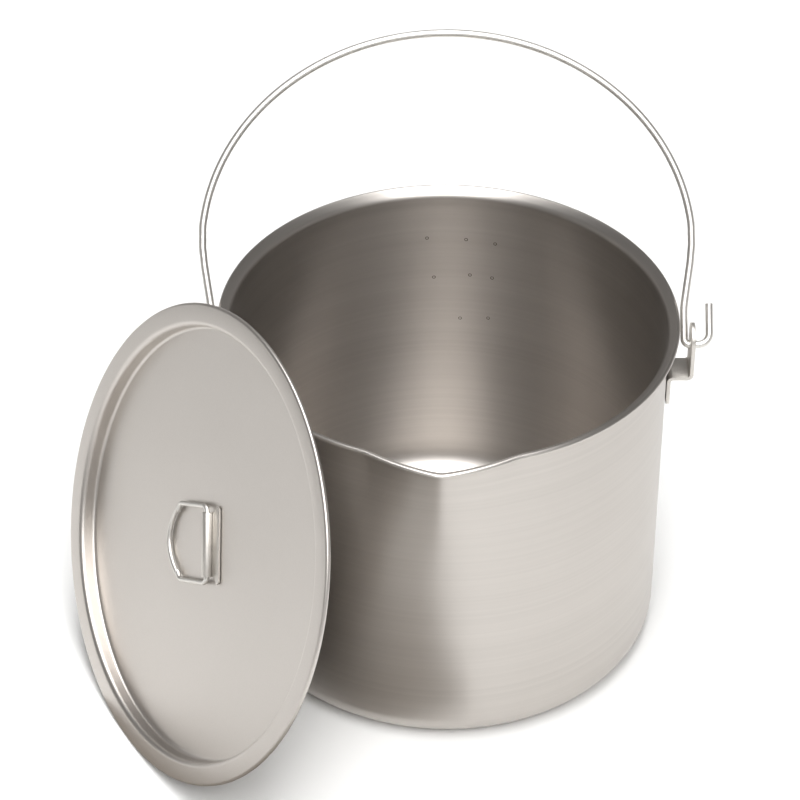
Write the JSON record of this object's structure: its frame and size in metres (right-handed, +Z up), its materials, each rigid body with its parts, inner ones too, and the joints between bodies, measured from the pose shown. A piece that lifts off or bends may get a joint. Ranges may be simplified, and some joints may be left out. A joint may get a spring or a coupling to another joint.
{
  "type": "cooking pot set",
  "caption": "Deep steel camping pot with a pour spout, a swinging wire bail, folding rear handles and a recessed lid with a folding ring, the lid leaning on the rim.",
  "frame": {"origin": "centre of the pot's flat base, on the surface the set stands on", "axes": "+Z up the pot's axis, -Y towards the front, with the pour spout 3.4 degrees from it towards -X, +X towards the right-hand bail ear as seen from the spout's side"},
  "size_m": [0.2623, 0.247, 0.2294],
  "materials": {
    "pot_steel": "drawn stainless steel, satin polished round the wall",
    "lid_steel": "pressed stainless steel, fine matt satin",
    "strap_steel": "stamped stainless steel strip, tumbled smooth",
    "wire_steel": "drawn stainless steel wire, bright"
  },
  "bodies": {
    "pot": {"pot_body": "pot_steel", "bail_ear_left": "strap_steel", "bail_ear_right": "strap_steel", "rear_bracket": "strap_steel"},
    "bail": {"bail_wire": "wire_steel"},
    "lid": {"lid_plate": "lid_steel", "lid_strap": "strap_steel"},
    "ring": {"lid_ring": "wire_steel"},
    "left_handle": {"rear_handle_left": "wire_steel"},
    "right_handle": {"rear_handle_right": "wire_steel"}
  },
  "joints": [
    {"name": "bail_hinge", "type": "hinge", "parent": "pot", "child": "bail", "pos_m": [0, 0, 0.135], "axis": [1, 0, 0], "range_deg": [-80, 43]},
    {"name": "lid_lift", "type": "slide", "parent": "pot", "child": "lid", "axis": [0, 0, 1], "range_m": [0, 0.2]},
    {"name": "ring_hinge", "type": "hinge", "parent": "lid", "child": "ring", "pos_m": [-0.09596, -0.06998, 0.09074], "axis": [0.0168, 0.5952, 0.8034], "range_deg": [0, 150]},
    {"name": "left_handle_hinge", "type": "hinge", "parent": "pot", "child": "left_handle", "pos_m": [-0.016, 0.09135, 0.106], "axis": [0, 0, -1], "range_deg": [0, 118]},
    {"name": "right_handle_hinge", "type": "hinge", "parent": "pot", "child": "right_handle", "pos_m": [0.016, 0.09135, 0.106], "axis": [0, 0, 1], "range_deg": [0, 118]}
  ]
}
